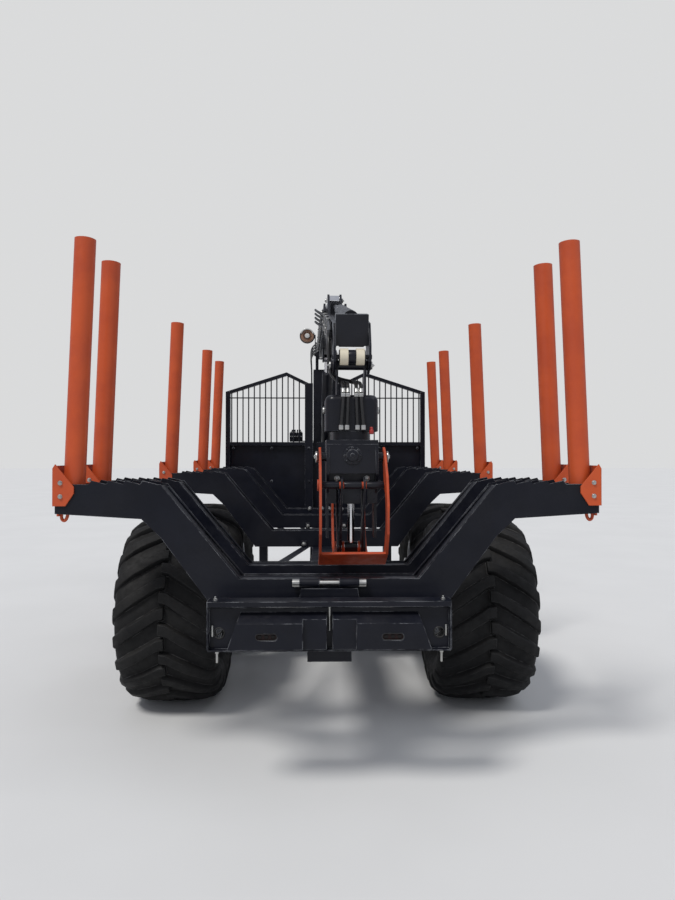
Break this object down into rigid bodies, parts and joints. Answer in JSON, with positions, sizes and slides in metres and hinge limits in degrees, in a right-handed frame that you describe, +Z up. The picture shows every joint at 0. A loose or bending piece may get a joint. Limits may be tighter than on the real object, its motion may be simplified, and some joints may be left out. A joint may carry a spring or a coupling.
{
  "type": "forestry timber trailer with loading crane",
  "caption": "Off-road timber trailer on a bogie with large tyres, curved bunks, stakes, headboard, telescopic rear end, steering drawbar and a folding loader crane with grapple.",
  "frame": {"origin": "centre of the footprint, on the ground", "axes": "+X to the trailer's right, +Y forward to the towing eye, +Z up"},
  "size_m": [2.6126, 7.4049, 3.152],
  "materials": {
    "black_paint": "semi-gloss, dusty",
    "orange_paint": "semi-gloss, lightly worn",
    "tyre_rubber": "matte, dusty",
    "rim_silver": "semi-gloss silver",
    "chrome": "polished",
    "bare_steel": "satin",
    "nylon": "matte",
    "lamp_red": "glossy, tinted"
  },
  "bodies": {
    "trailer": {"main_beam": "black_paint", "frame_braces": "black_paint", "steer_pin": "bare_steel", "cross_axle": "black_paint", "bogie_beams": "black_paint", "bunk_2": "black_paint", "bunk_3": "black_paint", "bunk_4": "black_paint", "bunk_5": "black_paint", "stakes_front": "orange_paint", "stake_brackets_front": "orange_paint", "headboard": "black_paint", "headboard_sheet": "black_paint", "headboard_grille": "black_paint", "crane_base": "black_paint", "column": "black_paint", "work_lamp": "black_paint", "valve_block": "black_paint", "leg_frame": "black_paint"},
    "rear_end": {"extension_beam": "black_paint", "bunk_1": "black_paint", "stakes_rear": "orange_paint", "stake_brackets_rear": "orange_paint", "lamp_panel": "black_paint", "rear_lamps": "lamp_red", "latch_block": "black_paint", "latch_pin": "chrome"},
    "wheel_rear_left": {"tyre_rear_left": "tyre_rubber", "rim_rear_left": "rim_silver"},
    "wheel_rear_right": {"tyre_rear_right": "tyre_rubber", "rim_rear_right": "rim_silver"},
    "wheel_front_left": {"tyre_front_left": "tyre_rubber", "rim_front_left": "rim_silver"},
    "wheel_front_right": {"tyre_front_right": "tyre_rubber", "rim_front_right": "rim_silver"},
    "drawbar": {"drawbar": "black_paint"},
    "steer_barrel_left": {"steer_cylinder_left": "black_paint"},
    "steer_rod_left": {"steer_rod_left": "chrome"},
    "steer_barrel_right": {"steer_cylinder_right": "black_paint"},
    "steer_rod_right": {"steer_rod_right": "chrome"},
    "leg_left": {"leg_left": "black_paint"},
    "leg_right": {"leg_right": "black_paint"},
    "boom": {"boom": "black_paint"},
    "lift_barrel": {"lift_cylinder": "black_paint"},
    "lift_ram": {"lift_rod": "chrome"},
    "jib": {"jib": "black_paint"},
    "jib_barrel": {"jib_cylinder": "black_paint"},
    "jib_ram": {"jib_rod": "chrome"},
    "jib_extension": {"jib_extension": "black_paint", "extension_cylinder": "black_paint", "hose_rollers": "nylon"},
    "tip_link": {"tip_link": "black_paint"},
    "grapple": {"grapple_frame": "black_paint"},
    "crosshead": {"crosshead": "chrome"},
    "claw_rear": {"claw_rear": "orange_paint"},
    "claw_link_rear": {"claw_link_rear": "orange_paint"},
    "claw_front": {"claw_front": "orange_paint"},
    "claw_link_front": {"claw_link_front": "orange_paint"}
  },
  "joints": [
    {"name": "rear_extension", "type": "slide", "parent": "trailer", "child": "rear_end", "axis": [0, -1, 0], "range_m": [0, 0.6]},
    {"name": "spin_rear_left", "type": "hinge", "parent": "trailer", "child": "wheel_rear_left", "pos_m": [-0.975, -2.1725, 0.59133], "axis": [1, 0, 0], "continuous": true},
    {"name": "spin_rear_right", "type": "hinge", "parent": "trailer", "child": "wheel_rear_right", "pos_m": [0.975, -2.1725, 0.59133], "axis": [1, 0, 0], "continuous": true},
    {"name": "spin_front_left", "type": "hinge", "parent": "trailer", "child": "wheel_front_left", "pos_m": [-0.975, -0.8925, 0.59133], "axis": [1, 0, 0], "continuous": true},
    {"name": "spin_front_right", "type": "hinge", "parent": "trailer", "child": "wheel_front_right", "pos_m": [0.975, -0.8925, 0.59133], "axis": [1, 0, 0], "continuous": true},
    {"name": "drawbar_steer", "type": "hinge", "parent": "trailer", "child": "drawbar", "pos_m": [0, 2.3775, 0.76], "axis": [0, 0, 1], "range_deg": [-25, 25]},
    {"name": "steer_swing_left", "type": "hinge", "parent": "trailer", "child": "steer_barrel_left", "pos_m": [-0.2, 1.8975, 0.76], "axis": [0, 0, 1], "range_deg": [-4.7, 4.7]},
    {"name": "steer_stroke_left", "type": "slide", "parent": "steer_barrel_left", "child": "steer_rod_left", "axis": [0.0582, 0.9983, 0], "range_m": [-0.076, 0.076]},
    {"name": "steer_swing_right", "type": "hinge", "parent": "trailer", "child": "steer_barrel_right", "pos_m": [0.2, 1.8975, 0.76], "axis": [0, 0, 1], "range_deg": [-4.7, 4.7]},
    {"name": "steer_stroke_right", "type": "slide", "parent": "steer_barrel_right", "child": "steer_rod_right", "axis": [-0.0582, 0.9983, 0], "range_m": [-0.076, 0.076]},
    {"name": "leg_lift_left", "type": "slide", "parent": "trailer", "child": "leg_left", "axis": [0, 0, 1], "range_m": [-0.1, 0.4]},
    {"name": "leg_lift_right", "type": "slide", "parent": "trailer", "child": "leg_right", "axis": [0, 0, 1], "range_m": [-0.1, 0.4]},
    {"name": "boom_lift", "type": "hinge", "parent": "trailer", "child": "boom", "pos_m": [0, 1.6475, 2.86], "axis": [-0.9997, -0.0236, 0], "range_deg": [0, 75]},
    {"name": "lift_swing", "type": "hinge", "parent": "trailer", "child": "lift_barrel", "pos_m": [0.00542, 1.41756, 1.65], "axis": [-0.9997, -0.0236, 0], "range_deg": [0, 29.6]},
    {"name": "lift_stroke", "type": "slide", "parent": "lift_barrel", "child": "lift_ram", "axis": [0.0137, -0.5803, 0.8143], "range_m": [0, 0.912]},
    {"name": "jib_fold", "type": "hinge", "parent": "boom", "child": "jib", "pos_m": [0.06715, -1.20171, 2.751], "axis": [-0.9997, -0.0236, 0], "range_deg": [-115.1, 0]},
    {"name": "jib_swing", "type": "hinge", "parent": "boom", "child": "jib_barrel", "pos_m": [0.03534, 0.14792, 3.06], "axis": [-0.9997, -0.0236, 0], "range_deg": [-0.5, 0]},
    {"name": "jib_stroke", "type": "slide", "parent": "jib_barrel", "child": "jib_ram", "axis": [0.0233, -0.9896, -0.1422], "range_m": [0, 0.331]},
    {"name": "jib_slide", "type": "slide", "parent": "jib", "child": "jib_extension", "axis": [0.0228, -0.9696, -0.2436], "range_m": [-0.7, 0]},
    {"name": "link_swing", "type": "hinge", "parent": "jib_extension", "child": "tip_link", "pos_m": [0.11426, -3.20115, 2.06], "axis": [-0.9997, -0.0236, 0], "range_deg": [-50, 75]},
    {"name": "rotator", "type": "hinge", "parent": "tip_link", "child": "grapple", "pos_m": [0.11426, -3.20115, 1.7], "axis": [0, 0, 1], "continuous": true},
    {"name": "claw_rear_swing", "type": "hinge", "parent": "grapple", "child": "claw_rear", "pos_m": [0.1165, -3.29613, 1.585], "axis": [-0.9997, -0.0236, 0], "range_deg": [0, 60]},
    {"name": "claw_front_swing", "type": "hinge", "parent": "grapple", "child": "claw_front", "pos_m": [0.11203, -3.10618, 1.585], "axis": [-0.9997, -0.0236, 0], "range_deg": [-60.1, 0]},
    {"name": "crosshead_slide", "type": "slide", "parent": "grapple", "child": "crosshead", "axis": [0, 0, 1], "range_m": [0, 0.1842]},
    {"name": "link_rear_swing", "type": "hinge", "parent": "crosshead", "child": "claw_link_rear", "pos_m": [0.11426, -3.20115, 1.12], "axis": [-0.9997, -0.0236, 0], "range_deg": [-19.7, 0]},
    {"name": "link_front_swing", "type": "hinge", "parent": "crosshead", "child": "claw_link_front", "pos_m": [0.11426, -3.20115, 1.12], "axis": [-0.9997, -0.0236, 0], "range_deg": [0, 19.7]}
  ],
  "couplings": [
    {"joint": "steer_swing_left", "follows": "drawbar_steer", "ratio": 0.185},
    {"joint": "steer_stroke_left", "follows": "drawbar_steer", "m_per_rad": -0.172},
    {"joint": "steer_swing_right", "follows": "drawbar_steer", "ratio": 0.185},
    {"joint": "steer_stroke_right", "follows": "drawbar_steer", "m_per_rad": 0.172},
    {"joint": "lift_swing", "follows": "boom_lift", "ratio": 0.39248},
    {"joint": "lift_stroke", "follows": "boom_lift", "m_per_rad": 0.69477},
    {"joint": "jib_fold", "follows": "boom_lift", "ratio": -1.5333},
    {"joint": "jib_swing", "follows": "boom_lift", "ratio": -0.00596},
    {"joint": "jib_stroke", "follows": "boom_lift", "m_per_rad": 0.25161},
    {"joint": "claw_front_swing", "follows": "claw_rear_swing", "ratio": -1},
    {"joint": "crosshead_slide", "follows": "claw_rear_swing", "m_per_rad": 0.173},
    {"joint": "link_rear_swing", "follows": "claw_rear_swing", "ratio": -0.327},
    {"joint": "link_front_swing", "follows": "claw_rear_swing", "ratio": 0.327}
  ]
}
